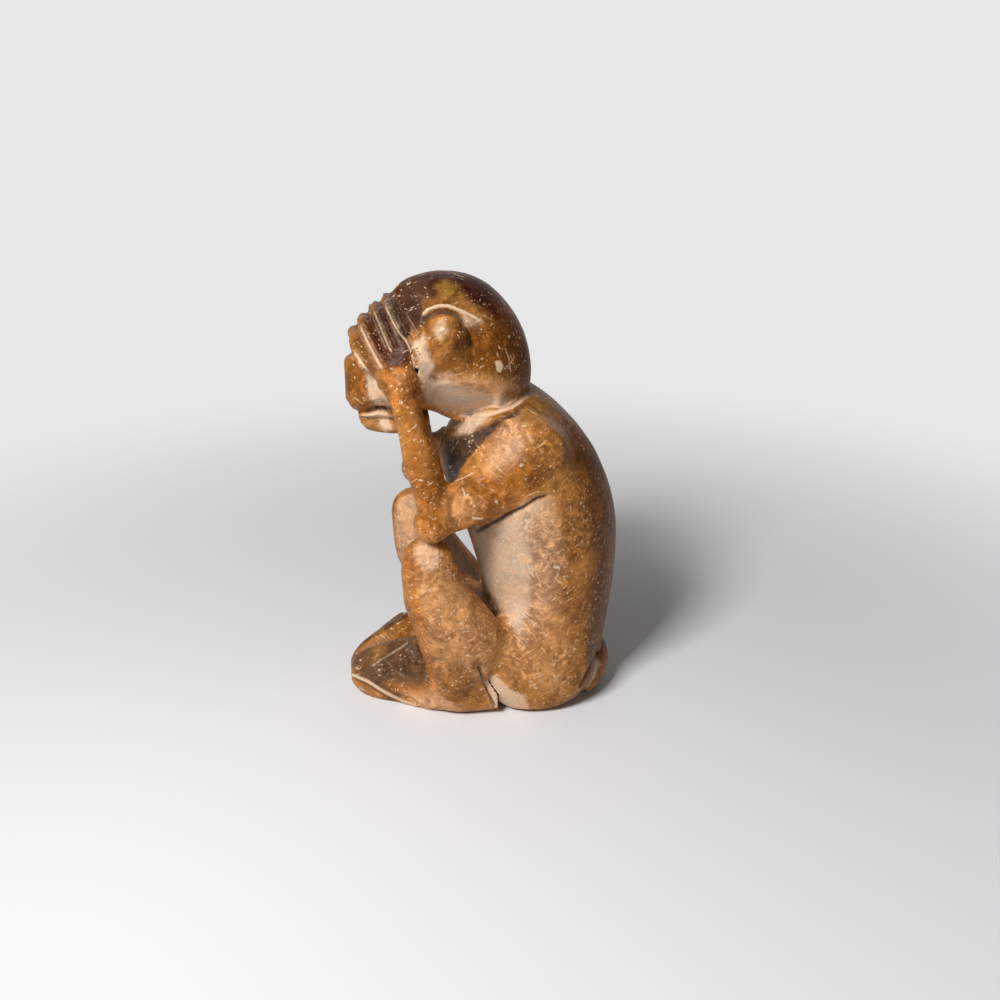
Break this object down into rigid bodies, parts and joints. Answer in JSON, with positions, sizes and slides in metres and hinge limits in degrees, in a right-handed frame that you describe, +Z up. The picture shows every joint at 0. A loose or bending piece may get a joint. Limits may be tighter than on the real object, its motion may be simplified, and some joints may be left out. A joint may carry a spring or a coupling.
{
  "type": "monkey figurine",
  "caption": "Carved soapstone monkey that sits hunched with its elbows on its knees and both hands over its eyes; a small solid ornament that stands on its flat base.",
  "frame": {"origin": "on the flat base under the torso, on the middle plane, at the height of the surface it stands on", "axes": "+Z up, -Y the way the monkey faces, +X to the monkey's own left"},
  "size_m": [0.0332, 0.0476, 0.0746],
  "materials": {
    "soapstone": "stained amber brown and waxed on the raised surfaces, raw pale grey in the recesses"
  },
  "bodies": {
    "root": {"head": "soapstone", "left_ear": "soapstone", "left_foot": "soapstone", "left_forearm": "soapstone", "left_hand": "soapstone", "left_haunch": "soapstone", "left_index_finger": "soapstone", "left_leg": "soapstone", "left_little_finger": "soapstone", "left_middle_finger": "soapstone", "left_ring_finger": "soapstone", "left_upper_arm": "soapstone", "lower_jaw": "soapstone", "muzzle": "soapstone", "right_ear": "soapstone", "right_foot": "soapstone", "right_forearm": "soapstone", "right_hand": "soapstone", "right_haunch": "soapstone", "right_index_finger": "soapstone", "right_leg": "soapstone", "right_little_finger": "soapstone", "right_middle_finger": "soapstone", "right_ring_finger": "soapstone", "right_upper_arm": "soapstone", "shin_web": "soapstone", "tail": "soapstone", "torso": "soapstone"}
  },
  "joints": []
}
